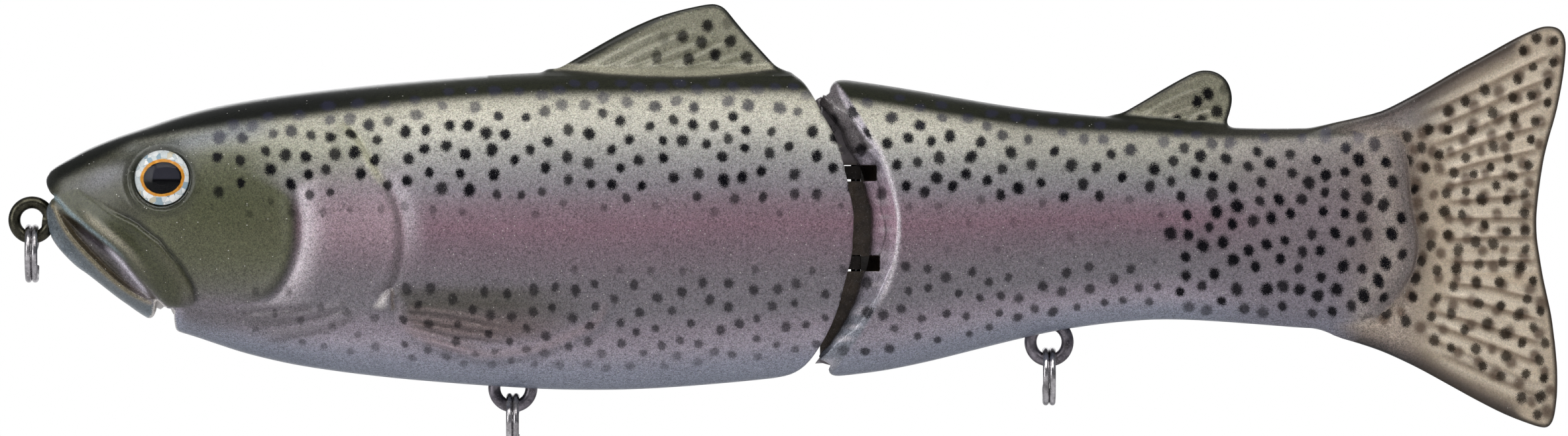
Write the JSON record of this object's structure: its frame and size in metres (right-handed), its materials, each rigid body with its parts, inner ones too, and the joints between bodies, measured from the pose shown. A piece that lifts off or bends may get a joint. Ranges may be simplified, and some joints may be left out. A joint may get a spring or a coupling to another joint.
{
  "type": "swimbait",
  "caption": "Two-section trout-form glide swimbait: soft painted skin over hard core halves, upright pin joint, wire hook hangers, split rings, translucent fan tail.",
  "frame": {"origin": "centre of the eye of the nose line-tie wire, on the mid plane", "axes": "+X from nose to tail, +Y to the fish's right side, +Z to the fish's back; the mid plane is Y = 0"},
  "size_m": [0.2562, 0.0302, 0.0736],
  "materials": {
    "painted_skin": "soft elastomer, sprayed trout pattern with pearl speckle under a satin clear coat",
    "core": "moulded hard plastic, joint faces painted",
    "link": "dark moulded link plate",
    "wire": "dark nickel wire",
    "ring": "bright nickel spring wire",
    "pin": "ground stainless pin",
    "ballast": "turned steel weight",
    "eye_foil": "printed holographic foil",
    "eye_clear": "clear domed resin"
  },
  "bodies": {
    "front": {"front_skin": "painted_skin", "front_core_left": "core", "front_core_right": "core", "line_tie_wire": "wire", "belly_hanger": "wire", "left_eye_foil": "eye_foil", "left_eye_dome": "eye_clear", "right_eye_foil": "eye_foil", "right_eye_dome": "eye_clear", "head_ballast": "ballast", "belly_ballast": "ballast", "upper_link_plate": "link", "lower_link_plate": "link", "link_anchor_pin": "pin"},
    "rear": {"rear_skin": "painted_skin", "rear_core_left": "core", "rear_core_right": "core", "hinge_pin": "pin", "hinge_pin_plug": "core", "rear_hanger": "wire", "rear_ballast": "ballast"},
    "nose_ring": {"nose_split_ring": "ring"},
    "belly_ring": {"belly_split_ring": "ring"},
    "rear_ring": {"rear_split_ring": "ring"}
  },
  "joints": [
    {"name": "tail_swing", "type": "hinge", "parent": "front", "child": "rear", "pos_m": [0.1355, 0, 0], "axis": [0, 0, 1], "range_deg": [-28, 28]},
    {"name": "nose_ring_swing", "type": "hinge", "parent": "front", "child": "nose_ring", "pos_m": [0, 0, 0], "axis": [0, 1, 0], "range_deg": [-18, 120]},
    {"name": "belly_ring_swing", "type": "hinge", "parent": "front", "child": "belly_ring", "pos_m": [0.0791, 0, -0.0276], "axis": [0, 1, 0], "range_deg": [-40, 40]},
    {"name": "rear_ring_swing", "type": "hinge", "parent": "rear", "child": "rear_ring", "pos_m": [0.1673, 0, -0.02005], "axis": [0, 1, 0], "range_deg": [-60, 60]}
  ]
}
